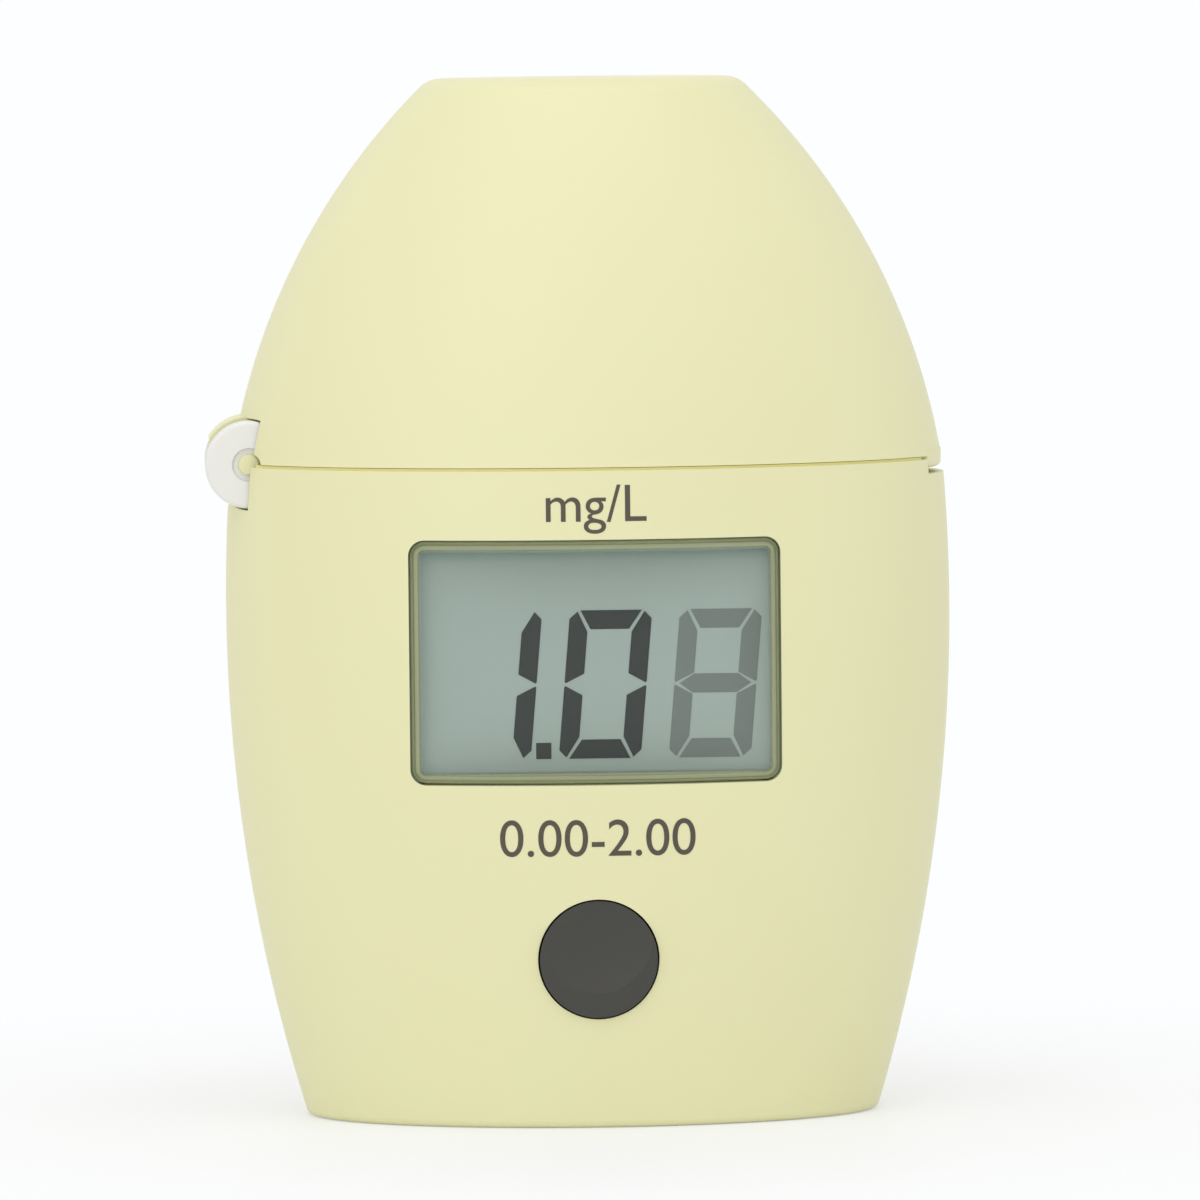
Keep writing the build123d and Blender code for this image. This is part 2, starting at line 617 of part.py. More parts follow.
def hinge_pin():
    pin = hinge_rod(PIN_RADIUS, -HINGE_HALF_LENGTH + 0.1, HINGE_HALF_LENGTH - 0.1)
    return fillet(pin.edges().filter_by(GeomType.CIRCLE), 0.2)


def lid_shell():
    shell = lid_form(0)
    crown = shell.faces().sort_by(Axis.Z)[-1]
    shell = fillet(crown.edges(), LID_CROWN_ROUND)
    shell -= lid_form(WALL, LID_BOTTOM, HEIGHT - WALL)
    shell += thumb_lip()
    knuckle = hinge_rod(KNUCKLE_RADIUS, -KNUCKLE_HALF_LENGTH, KNUCKLE_HALF_LENGTH)
    knuckle += hinge_sector(
        NOSE_RADIUS, -KNUCKLE_HALF_LENGTH, KNUCKLE_HALF_LENGTH, STOP_NOSE_START, STOP_NOSE_END
    )
    for y0, y1 in ((-NOTCH_HALF_LENGTH, -KNUCKLE_HALF_LENGTH), (KNUCKLE_HALF_LENGTH, NOTCH_HALF_LENGTH)):
        shell -= hinge_rod(NOTCH_RADIUS, y0, y1)
    shell += knuckle
    return shell - hinge_rod(PIN_RADIUS + PIN_CLEARANCE, -FAR, FAR)


def thumb_lip():
    """Right end of the lid's wall, carried down past the parting line to be lifted by a thumb."""
    wide = lid_half_width(LID_BOTTOM)
    low = LID_BOTTOM - LIP_DROP
    outside = Pos(0, 0, low) * extrude(Ellipse(wide, wide * DEPTH_SHARE), LIP_DROP + LIP_ROUND)
    outside = fillet(outside.faces().sort_by(Axis.Z)[0].edges(), LIP_ROUND)
    strip = block(0, FAR, -LIP_HALF_LENGTH, LIP_HALF_LENGTH, low, LID_BOTTOM + LIP_ROUND)
    return (outside & strip) - lip_core(low - 1, 0)


NODES = {
    "front_shell": front_shell,
    "rear_shell": rear_shell,
    "case_screws": case_screws,
    "top_deck": top_deck,
    "sample_well": sample_well,
    "led_lamp": led_lamp,
    "lamp_board": lambda: side_board(-1),
    "light_sensor": light_sensor,
    "sensor_board": lambda: side_board(1),
    "window": window,
    "display_glass": display_glass,
    "display_strips": display_strips,
    "main_board": main_board,
    "board_chips": board_chips,
    "board_screws": board_screws,
    "key_switch": key_switch,
    "button_cap": button_cap,
    "battery_cell": battery_cell,
    "contact_plus": lambda: cell_contact(1),
    "contact_minus": lambda: cell_contact(-1),
    "battery_cover": battery_cover,
    "cover_screw": cover_screw,
    "hinge_bracket": hinge_bracket,
    "hinge_pin": hinge_pin,
    "lid_shell": lid_shell,
}

for name, make in NODES.items():
    made = make()
    export_step(made, f"parts/{name}.step")
    print(name, len(made.solids()), round(made.volume, 1))
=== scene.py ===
"""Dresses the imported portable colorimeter: finishes, display, printed marks and small details.

Everything is in metres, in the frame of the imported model: +Z up, front towards -Y.
"""

from math import asin, cos, pi, radians, sin, tan
import bpy
from bpy.props import FloatProperty, FloatVectorProperty, PointerProperty, StringProperty
from mathutils import Matrix, Vector
from mathutils.bvhtree import BVHTree


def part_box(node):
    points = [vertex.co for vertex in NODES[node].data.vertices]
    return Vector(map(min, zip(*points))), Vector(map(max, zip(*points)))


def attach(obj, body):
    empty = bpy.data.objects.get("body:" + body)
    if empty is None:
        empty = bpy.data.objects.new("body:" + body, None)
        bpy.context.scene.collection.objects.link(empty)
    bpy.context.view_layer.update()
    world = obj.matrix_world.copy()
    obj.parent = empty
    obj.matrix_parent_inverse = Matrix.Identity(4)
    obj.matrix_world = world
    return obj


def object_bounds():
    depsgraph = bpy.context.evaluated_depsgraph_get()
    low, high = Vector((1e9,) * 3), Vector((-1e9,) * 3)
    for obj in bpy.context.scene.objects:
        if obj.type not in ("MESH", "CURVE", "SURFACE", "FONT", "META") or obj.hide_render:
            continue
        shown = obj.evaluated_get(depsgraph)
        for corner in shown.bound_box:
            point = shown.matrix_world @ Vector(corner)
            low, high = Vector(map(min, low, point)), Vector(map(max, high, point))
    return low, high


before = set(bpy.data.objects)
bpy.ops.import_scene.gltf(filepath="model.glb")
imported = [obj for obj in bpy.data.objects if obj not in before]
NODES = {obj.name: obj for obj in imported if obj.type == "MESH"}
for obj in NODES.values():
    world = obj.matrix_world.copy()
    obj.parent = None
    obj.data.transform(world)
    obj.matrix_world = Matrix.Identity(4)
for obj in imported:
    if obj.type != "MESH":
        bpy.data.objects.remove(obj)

bl_info = {
    "name": "Pocket Colorimeter",
    "version": (1, 0, 0),
    "blender": (4, 5, 0),
    "location": "View3D > Sidebar > Meter",
    "description": "Finishes and small details of a hand-held colorimeter",
    "category": "Object",
}

CAD_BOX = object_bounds()
MM = 0.001

WINDOW_LOW, WINDOW_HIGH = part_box("window")
WINDOW_MID = (WINDOW_LOW + WINDOW_HIGH) / 2
WINDOW_SIZE = WINDOW_HIGH - WINDOW_LOW
DISPLAY_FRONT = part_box("display_glass")[0].y
CELL_LOW, CELL_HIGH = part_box("battery_cell")
CASE_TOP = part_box("front_shell")[1].z


def srgb(red, green, blue):
    """Linear colour of a displayed colour given in 0 to 255."""
    def linear(c):
        c = c / 255
        return c / 12.92 if c <= 0.04045 else ((c + 0.055) / 1.055) ** 2.4
    return linear(red), linear(green), linear(blue)


def length(name, description, default):
    """A length in metres that a user can change."""
    return FloatProperty(name=name, description=description, default=default, unit="LENGTH", precision=5)


def colour(name, description, default):
    """A colour that a user can change."""
    return FloatVectorProperty(
        name=name, description=description, default=default, subtype="COLOR", size=3, min=0, max=1
    )


class MeterColours(bpy.types.PropertyGroup):
    """Colours of the meter's plastics, metals, inks and display."""

    case: colour("Case", "Cream plastic of the case and lid", srgb(230, 228, 183))
    case_deep: colour("Case shade", "Slightly deeper patches in the cream", srgb(229, 226, 178))
    white_part: colour("White plastic", "Hinge bracket", srgb(234, 233, 229))
    black_part: colour("Black plastic", "Sample well and chips", srgb(34, 34, 35))
    key: colour("Button", "Dark plastic of the button", srgb(60, 59, 55))
    ink: colour("Ink", "Printed marks on the case", srgb(76, 70, 58))
    display: colour("Display", "Resting colour of the display", srgb(164, 179, 172))
    # Painted shadow: the display's colour where the window's upper edge shades it.
    display_painted_shadow: colour("Display shade", "Display under the window's upper edge", srgb(144, 165, 156))
    digit: colour("Digit", "Active display segments", srgb(26, 32, 30))
    digit_idle: colour("Idle digit", "Display segments that are off", srgb(110, 120, 114))
    rim_dark: colour("Window rim", "Olive of the window's edge", srgb(136, 138, 98))
    # Pale bands that paint highlights on the bevel of the window's rim.
    rim_painted_highlight: colour("Window rim light", "Pale lines in the window's edge", srgb(182, 190, 160))
    # Saturated yellow that paints the light bounced between the cream parts inside the parting line.
    seam: colour("Parting line", "Ledge seen in the gap between case and lid", srgb(242, 233, 152))
    board: colour("Board", "Solder mask", srgb(22, 92, 52))
    plated: colour("Plated steel", "Screws, contacts and the key's dome", srgb(196, 195, 190))
    lamp: colour("Lamp", "Tinted resin of the lamp", srgb(226, 214, 150))
    lamp_deep: colour("Lamp shade", "Deeper patches in the resin", srgb(214, 196, 120))
    strip: colour("Strip", "Rubber strips behind the display", srgb(196, 120, 128))
    strip_deep: colour("Strip shade", "Deeper patches in the rubber", srgb(170, 92, 104))
    cell_end: colour("Cell ends", "Steel at both ends of the cell", srgb(190, 190, 186))
    cell_sleeve: colour("Cell sleeve", "Long band of the cell's sleeve", srgb(44, 50, 58))
    cell_band: colour("Cell band", "Short band of the cell's sleeve", srgb(186, 120, 70))
    floor: colour("Floor", "Pale floor", srgb(247, 248, 247))


class MeterSizes(bpy.types.PropertyGroup):
    """Sizes of the details that are added to the meter."""

    digit_width: length("Digit width", "Width of one digit before it leans", 6.7 * MM)
    digit_height: length("Digit height", "Height of one digit", 12.1 * MM)
    digit_pitch: length("Digit pitch", "Distance from one digit to the next", 8.97 * MM)
    digit_middle: length("Digit place", "Middle of the second digit, from the meter's middle", 0.85 * MM)
    digit_drop: length("Digit drop", "How far the digits sit under the window's middle", 2.0 * MM)
    digit_stroke: length("Stroke", "Thickness of a display segment", 1.55 * MM)
    digit_gap: length("Gap", "Gap between two display segments", 0.22 * MM)
    digit_lean: FloatProperty(
        name="Lean", description="Lean of the digits", default=radians(5), unit="ROTATION"
    )
    point_shift: length("Point place", "From midway between two digits to the point", 0.6 * MM)
    segment_depth: length("Segment depth", "How far a segment stands on the display glass", 0.03 * MM)
    window_corner: length("Window corner", "Corner radius of the window's rim", 1.2 * MM)
    rim_width: length("Rim width", "Width of the bands in the window's rim", 1.4 * MM)
    unit_height: length("Unit height", "Text size of the unit above the window", 4.3 * MM)
    unit_rise: length("Unit place", "From the window's upper edge to the unit's middle", 2.9 * MM)
    range_height: length("Range height", "Text size of the range under the window", 4.3 * MM)
    range_drop: length("Range place", "From the window's lower edge to the range's middle", 4.6 * MM)
    seam_half_width: length("Seam width", "Half width of the ledge in the parting line", 29.15 * MM)
    seam_half_depth: length("Seam depth", "Half depth of the ledge in the parting line", 18.2 * MM)
    seam_thickness: length("Seam thickness", "How far the ledge reaches inwards", 0.7 * MM)
    seam_height: length("Seam height", "How far the ledge stands on the case", 0.2 * MM)
    seam_free: length("Seam ends", "Half of the room left for the hinge and the lip", 6.3 * MM)
    ink_depth: length("Ink depth", "How far the print stands on the case", 0.03 * MM)


class MeterText(bpy.types.PropertyGroup):
    """Words printed on the case: a plain unit and a plain range of numbers."""

    unit: StringProperty(name="Unit", description="Unit over the window", default="mg/L")
    span: StringProperty(name="Range", description="Range under the window", default="0.00-2.00")


def settings():
    """The scene's colours, sizes and words."""
    scene = bpy.context.scene
    return scene.meter_colours, scene.meter_sizes, scene.meter_text


def rgba(value):
    """A colour with full opacity."""
    return (value[0], value[1], value[2], 1.0)


def scaled(value, factor):
    """A lighter or darker form of a colour."""
    return tuple(min(1.0, c * factor) for c in value)


GRAIN_BUMP = 0.00005


def build_mould_group():
    """Colour, roughness and fine grain of a moulded plastic surface."""
    group = bpy.data.node_groups.new("moulded_surface", "ShaderNodeTree")
    face = group.interface
    for name, kind, default in (
        ("Vector", "NodeSocketVector", None),
        ("Colour", "NodeSocketColor", (0.8, 0.8, 0.8, 1)),
        ("Shade", "NodeSocketColor", (0.7, 0.7, 0.7, 1)),
        ("Patch Size", "NodeSocketFloat", 60.0),
        ("Grain Size", "NodeSocketFloat", 3000.0),
        ("Grain Depth", "NodeSocketFloat", 0.1),
        ("Gloss", "NodeSocketFloat", 0.35),
        ("Gloss Spread", "NodeSocketFloat", 0.08),
    ):
        socket = face.new_socket(name, in_out="INPUT", socket_type=kind)
        if default is not None:
            socket.default_value = default
    face.new_socket("Colour", in_out="OUTPUT", socket_type="NodeSocketColor")
    face.new_socket("Roughness", in_out="OUTPUT", socket_type="NodeSocketFloat")
    face.new_socket("Normal", in_out="OUTPUT", socket_type="NodeSocketVector")
    links = group.links
    start = group.nodes.new("NodeGroupInput")
    end = group.nodes.new("NodeGroupOutput")

    patches = group.nodes.new("ShaderNodeTexNoise")
    patches.inputs["Detail"].default_value = 3
    links.new(start.outputs["Vector"], patches.inputs["Vector"])
    links.new(start.outputs["Patch Size"], patches.inputs["Scale"])
    tint = group.nodes.new("ShaderNodeMix")
    tint.data_type = "RGBA"
    links.new(patches.outputs["Fac"], tint.inputs["Factor"])
    links.new(start.outputs["Colour"], tint.inputs["A"])
    links.new(start.outputs["Shade"], tint.inputs["B"])
    links.new(tint.outputs["Result"], end.inputs["Colour"])

    grain = group.nodes.new("ShaderNodeTexNoise")
    grain.inputs["Detail"].default_value = 2
    links.new(start.outputs["Vector"], grain.inputs["Vector"])
    links.new(start.outputs["Grain Size"], grain.inputs["Scale"])
    spread = group.nodes.new("ShaderNodeMath")
    spread.operation = "MULTIPLY_ADD"
    links.new(grain.outputs["Fac"], spread.inputs[0])
    links.new(start.outputs["Gloss Spread"], spread.inputs[1])
    links.new(start.outputs["Gloss"], spread.inputs[2])
    links.new(spread.outputs[0], end.inputs["Roughness"])

    bump = group.nodes.new("ShaderNodeBump")
    bump.inputs["Distance"].default_value = GRAIN_BUMP
    links.new(grain.outputs["Fac"], bump.inputs["Height"])
    links.new(start.outputs["Grain Depth"], bump.inputs["Strength"])
    links.new(bump.outputs["Normal"], end.inputs["Normal"])
    return group


def new_material(name):
    """An empty node material with its Principled shader and Object coordinates."""
    material = bpy.data.materials.new(name)
    material.use_nodes = True
    tree = material.node_tree
    shader = tree.nodes["Principled BSDF"]
    place = tree.nodes.new("ShaderNodeTexCoord")
    return material, tree, shader, place


def moulded(name, colour_value, shade, gloss=0.35, patch=60.0, grain=3000.0, depth=0.1, spread=0.08):
    """A moulded plastic from the shared surface group."""
    material, tree, shader, place = new_material(name)
    surface = tree.nodes.new("ShaderNodeGroup")
    surface.node_tree = bpy.data.node_groups.get("moulded_surface") or build_mould_group()
    surface.inputs["Colour"].default_value = rgba(colour_value)
    surface.inputs["Shade"].default_value = rgba(shade)
    surface.inputs["Patch Size"].default_value = patch
    surface.inputs["Grain Size"].default_value = grain
    surface.inputs["Grain Depth"].default_value = depth
    surface.inputs["Gloss"].default_value = gloss
    surface.inputs["Gloss Spread"].default_value = spread
    tree.links.new(place.outputs["Object"], surface.inputs["Vector"])
    tree.links.new(surface.outputs["Colour"], shader.inputs["Base Color"])
    tree.links.new(surface.outputs["Roughness"], shader.inputs["Roughness"])
    tree.links.new(surface.outputs["Normal"], shader.inputs["Normal"])
    return material


BRUSH_ALONG = 150.0
BRUSH_ACROSS = 4000.0
BRUSH_TONES = (0.85, 1.1)
BRUSH_GLOSS = (-0.08, 0.1)


def brushed(name, colour_value, axis, gloss=0.28):
    """Bright metal with fine lines drawn along one axis."""
    material, tree, shader, place = new_material(name)
    stretch = tree.nodes.new("ShaderNodeMapping")
    stretch.inputs["Scale"].default_value = [BRUSH_ALONG if i == axis else BRUSH_ACROSS for i in range(3)]
    lines = tree.nodes.new("ShaderNodeTexNoise")
    lines.inputs["Scale"].default_value = 1.0
    tone = tree.nodes.new("ShaderNodeMix")
    tone.data_type = "RGBA"
    tone.inputs["A"].default_value = rgba(scaled(colour_value, BRUSH_TONES[0]))
    tone.inputs["B"].default_value = rgba(scaled(colour_value, BRUSH_TONES[1]))
    rough = tree.nodes.new("ShaderNodeMapRange")
    rough.inputs["To Min"].default_value = gloss + BRUSH_GLOSS[0]
    rough.inputs["To Max"].default_value = gloss + BRUSH_GLOSS[1]
    links = tree.links
    links.new(place.outputs["Object"], stretch.inputs["Vector"])
    links.new(stretch.outputs["Vector"], lines.inputs["Vector"])
    links.new(lines.outputs["Fac"], tone.inputs["Factor"])
    links.new(tone.outputs["Result"], shader.inputs["Base Color"])
    links.new(lines.outputs["Fac"], rough.inputs["Value"])
    links.new(rough.outputs["Result"], shader.inputs["Roughness"])
    shader.inputs["Metallic"].default_value = 1.0
    return material


def ramp_node(tree, stops):
    """A colour ramp with one stop for each position and colour, given from first to last."""
    made = tree.nodes.new("ShaderNodeValToRGB")
    elements = made.color_ramp.elements
    elements[0].position, elements[0].color = stops[0]
    elements[1].position, elements[1].color = stops[-1]
    for position, value in stops[1:-1]:
        elements.new(position).color = value
    return made


def dress(node, material):
    """Gives a carried-over node its finish."""
    data = NODES[node].data
    data.materials.clear()
    data.materials.append(material)


def mesh_object(name, vertices, faces, material):
    """A new object in the scene, with one material."""
    data = bpy.data.meshes.new(name)
    data.from_pydata(vertices, [], faces)
    data.validate()
    data.materials.append(material)
    piece = bpy.data.objects.new(name, data)
    bpy.context.scene.collection.objects.link(piece)
    return piece


def settle(piece, body):
    """A finished piece rides a body."""
    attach(piece, body)
    return piece


def applied(piece, name):
    """The piece with its modifiers worked in, as a plain mesh."""
    bpy.context.view_layer.update()
    seen = piece.evaluated_get(bpy.context.evaluated_depsgraph_get())
    data = bpy.data.meshes.new_from_object(seen)
    data.name = name
    made = bpy.data.objects.new(name, data)
    bpy.context.scene.collection.objects.link(made)
    bpy.data.objects.remove(piece)
    return made


class METER_OT_case(bpy.types.Operator):
    """Cream satin plastic of the case, lid, deck, battery cover and hinge pin"""

    bl_idname = "meter.case"
    bl_label = "Case and lid"

    def execute(self, context):
        colours, _, _ = settings()
        cream = moulded("cream_plastic", colours.case, colours.case_deep, gloss=0.38, depth=0.06)
        for node in ("front_shell", "rear_shell", "lid_shell", "top_deck", "battery_cover", "hinge_pin"):
            dress(node, cream)
        return {"FINISHED"}


SEAM_STEPS = 72
SEAM_SINK = 0.05 * MM


class METER_OT_seam(bpy.types.Operator):
    """Thin ledge on the case that fills the parting line under the lid, in a saturated yellow that paints
    the light bounced between the cream parts
    """

    bl_idname = "meter.seam"
    bl_label = "Parting line"

    def execute(self, context):
        colours, sizes, _ = settings()
        wide, deep, thick = sizes.seam_half_width, sizes.seam_half_depth, sizes.seam_thickness
        low = CASE_TOP - SEAM_SINK
        high = CASE_TOP + sizes.seam_height
        start = asin(sizes.seam_free / deep)
        vertices, faces = [], []
        for side in (-1, 1):
            first = len(vertices)
            for i in range(SEAM_STEPS + 1):
                turn = start + (pi - 2 * start) * i / SEAM_STEPS
                for inset in (0, thick):
                    for z in (low, high):
                        vertices.append(((wide - inset) * cos(turn), side * (deep - inset) * sin(turn), z))
            for i in range(SEAM_STEPS):
                a, b = first + 4 * i, first + 4 * (i + 1)
                for j, k in ((0, 1), (1, 3), (3, 2), (2, 0)):
                    faces.append([a + j, a + k, b + k, b + j][::side])
            end = first + 4 * SEAM_STEPS
            faces.append([first, first + 2, first + 3, first + 1][::side])
            faces.append([end, end + 1, end + 3, end + 2][::side])
        # Painted bounce light: the ledge is brighter and yellower than the cream it stands for.
        painted_bounce_yellow = moulded("seam_plastic", colours.seam, scaled(colours.seam, 0.95), gloss=0.5)
        settle(mesh_object("seam_ledge", vertices, faces, painted_bounce_yellow), "housing")
        return {"FINISHED"}


def rounded_box_distance(tree, place, mid, half_w, half_h, corner):
    """Distance outwards from a rounded rectangle in X and Z, negative inside it."""
    links = tree.links
    split = tree.nodes.new("ShaderNodeSeparateXYZ")
    links.new(place.outputs["Object"], split.inputs[0])

    def math(operation, first, second=None):
        made = tree.nodes.new("ShaderNodeMath")
        made.operation = operation
        for socket, value in zip(made.inputs, (first, second)):
            if isinstance(value, (int, float)):
                socket.default_value = value
            elif value is not None:
                links.new(value, socket)
        return made.outputs[0]

    across = math("SUBTRACT", math("ABSOLUTE", math("SUBTRACT", split.outputs["X"], mid.x)), half_w - corner)
    up = math("SUBTRACT", math("ABSOLUTE", math("SUBTRACT", split.outputs["Z"], mid.z)), half_h - corner)
    across_out = math("MAXIMUM", across, 0.0)
    up_out = math("MAXIMUM", up, 0.0)
    outside = math("SQRT", math("ADD", math("POWER", across_out, 2.0), math("POWER", up_out, 2.0)))
    inside = math("MINIMUM", math("MAXIMUM", across, up), 0.0)
    return math("SUBTRACT", math("ADD", outside, inside), corner)


# Stops across the rim, from the clear middle at 0 to the outer edge at 1; the pale bands are painted
# highlights on the bevel.
RIM_STOPS = (
    (0.0, "display"), (0.4, "display"), (0.5, "rim_dark"),
    (0.58, "rim_painted_highlight"), (0.74, "rim_painted_highlight"), (0.8, "rim_dark"),
    (0.86, "rim_painted_highlight"), (0.93, "rim_painted_highlight"), (1.0, "rim_dark"),
)
OPACITY_STOPS = ((0.36, 0.03), (0.56, 0.7))
WINDOW_GLOSS = 0.06


class METER_OT_window(bpy.types.Operator):
    """Clear window with an olive bevelled rim and painted highlight lines on its bevel"""

    bl_idname = "meter.window"
    bl_label = "Window"

    def execute(self, context):
        colours, sizes, _ = settings()
        material, tree, shader, place = new_material("clear_window")
        links = tree.links
        distance = rounded_box_distance(
            tree, place, WINDOW_MID, WINDOW_SIZE.x / 2, WINDOW_SIZE.z / 2, sizes.window_corner
        )
        bands = tree.nodes.new("ShaderNodeMapRange")
        bands.inputs["From Min"].default_value = -sizes.rim_width
        bands.inputs["From Max"].default_value = 0.0
        links.new(distance, bands.inputs["Value"])
        tint = ramp_node(tree, [(at, rgba(getattr(colours, name))) for at, name in RIM_STOPS])
        clear = ramp_node(tree, [(at, rgba((grey, grey, grey))) for at, grey in OPACITY_STOPS])
        links.new(bands.outputs["Result"], tint.inputs["Fac"])
        links.new(bands.outputs["Result"], clear.inputs["Fac"])
        links.new(tint.outputs["Color"], shader.inputs["Base Color"])
        links.new(clear.outputs["Color"], shader.inputs["Alpha"])
        shader.inputs["Roughness"].default_value = WINDOW_GLOSS
        dress("window", material)
        return {"FINISHED"}


def segment_outlines(width, height, stroke, gap):
    """The seven strokes of a digit as outlines in X and Z, from its lower left corner."""
    half = height / 2
    tip, shoulder, nib = 0.4 * stroke, 0.45 * stroke, 0.06 * stroke
    upper_right = [
        (width, height - shoulder), (width - tip, height - nib), (width - stroke, height - stroke - gap),
        (width - stroke, half + stroke / 2 + gap / 2), (width - nib, half + gap / 2), (width, half + gap),
    ]
    top = [
        (tip + gap, height), (stroke + gap, height - stroke),
        (width - stroke - gap, height - stroke), (width - tip - gap, height),
    ]
    middle = [
        (nib + gap * 1.5, half), (stroke, half - stroke / 2), (width - stroke, half - stroke / 2),
        (width - nib - gap * 1.5, half), (width - stroke, half + stroke / 2), (stroke, half + stroke / 2),
    ]

    def flipped(points):
        return [(x, height - z) for x, z in reversed(points)]

    def mirrored(points):
        return [(width - x, z) for x, z in reversed(points)]

    return {
        "top": top, "bottom": flipped(top), "middle": middle,
        "upper_right": upper_right, "lower_right": flipped(upper_right),
        "upper_left": mirrored(upper_right), "lower_left": mirrored(flipped(upper_right)),
    }


DIGIT_STROKES = {
    "one": ("upper_right", "lower_right"),
    "zero": ("top", "bottom", "upper_right", "lower_right", "upper_left", "lower_left"),
    "idle": ("top", "bottom", "middle", "upper_right", "lower_right", "upper_left", "lower_left"),
}

# The point's half width and height, as shares of a stroke.
POINT_HALF_WIDTH = 0.4
POINT_HEIGHT = 0.85

# The painted shadow under the window's upper edge is full down to the first depth and gone at the second.
PAINTED_SHADOW_FULL = 0.8 * MM
PAINTED_SHADOW_GONE = 2.1 * MM
FILM_SCALE = 220.0
FILM_SHARE = 0.06


class METER_OT_display(bpy.types.Operator):
    """Liquid-crystal glass and the strokes of its digits"""

    bl_idname = "meter.display"
    bl_label = "Display"

    def plates(self, outlines, depth):
        """Thin closed plates standing on the front of the display glass."""
        vertices, faces = [], []
        for outline in outlines:
            first, count = len(vertices), len(outline)
            vertices += [(x, DISPLAY_FRONT, z) for x, z in outline]
            vertices += [(x, DISPLAY_FRONT - depth, z) for x, z in outline]
            faces.append([first + i for i in range(count)])
            faces.append([first + count + i for i in reversed(range(count))])
            for i in range(count):
                after = (i + 1) % count
                faces.append([first + i, first + count + i, first + count + after, first + after])
        return vertices, faces

    def digit(self, kind, place, sizes):
        """Leaning outlines of one digit, centred at its place along the display."""
        shapes = segment_outlines(sizes.digit_width, sizes.digit_height, sizes.digit_stroke, sizes.digit_gap)
        lean = tan(sizes.digit_lean)
        low = WINDOW_MID.z - sizes.digit_drop - sizes.digit_height / 2
        left = place - sizes.digit_width / 2 - lean * sizes.digit_height / 2
        return [
            [(left + x + lean * z, low + z) for x, z in shapes[stroke]]
            for stroke in DIGIT_STROKES[kind]
        ]

    def glass(self, colours):
        """Grey-green film, with a painted shadow that darkens it under the window's upper edge."""
        material, tree, shader, place = new_material("display_glass")
        links = tree.links
        split = tree.nodes.new("ShaderNodeSeparateXYZ")
        links.new(place.outputs["Object"], split.inputs[0])
        # Painted shadow: blends to the darker colour towards the window's upper edge.
        shade = tree.nodes.new("ShaderNodeMapRange")
        shade.interpolation_type = "SMOOTHSTEP"
        shade.inputs["From Min"].default_value = WINDOW_HIGH.z - PAINTED_SHADOW_GONE
        shade.inputs["From Max"].default_value = WINDOW_HIGH.z - PAINTED_SHADOW_FULL
        links.new(split.outputs["Z"], shade.inputs["Value"])
        film = tree.nodes.new("ShaderNodeTexNoise")
        film.inputs["Scale"].default_value = FILM_SCALE
        links.new(place.outputs["Object"], film.inputs["Vector"])
        soft = tree.nodes.new("ShaderNodeMath")
        soft.operation = "MULTIPLY_ADD"
        soft.inputs[1].default_value = FILM_SHARE
        links.new(film.outputs["Fac"], soft.inputs[0])
        links.new(shade.outputs["Result"], soft.inputs[2])
        tone = tree.nodes.new("ShaderNodeMix")
        tone.data_type = "RGBA"
        tone.inputs["A"].default_value = rgba(colours.display)
        tone.inputs["B"].default_value = rgba(colours.display_painted_shadow)
        links.new(soft.outputs[0], tone.inputs["Factor"])
        links.new(tone.outputs["Result"], shader.inputs["Base Color"])
        shader.inputs["Roughness"].default_value = 0.4
        shader.inputs["Specular IOR Level"].default_value = 0.2
        return material

    def execute(self, context):
        colours, sizes, _ = settings()
        dress("display_glass", self.glass(colours))
        dark = moulded("digit_ink", colours.digit, scaled(colours.digit, 1.1), gloss=0.5)
        faint = moulded("digit_idle_ink", colours.digit_idle, scaled(colours.digit_idle, 1.05), gloss=0.5)
        middle, pitch = sizes.digit_middle, sizes.digit_pitch
        outlines = self.digit("one", middle - pitch, sizes) + self.digit("zero", middle, sizes)
        point_x = middle - pitch / 2 - sizes.point_shift
        point_low = WINDOW_MID.z - sizes.digit_drop - sizes.digit_height / 2
        half = sizes.digit_stroke * POINT_HALF_WIDTH
        tall = sizes.digit_stroke * POINT_HEIGHT
        outlines.append([
            (point_x - half, point_low), (point_x + half, point_low),
            (point_x + half, point_low + tall), (point_x - half, point_low + tall),
        ])
        vertices, faces = self.plates(outlines, sizes.segment_depth)
        settle(mesh_object("display_digits", vertices, faces, dark), "housing")
        idle = self.digit("idle", middle + pitch, sizes)
        vertices, faces = self.plates(idle, sizes.segment_depth)
        settle(mesh_object("display_digit_idle", vertices, faces, faint), "housing")
        return {"FINISHED"}


IN_FRONT = -1.0


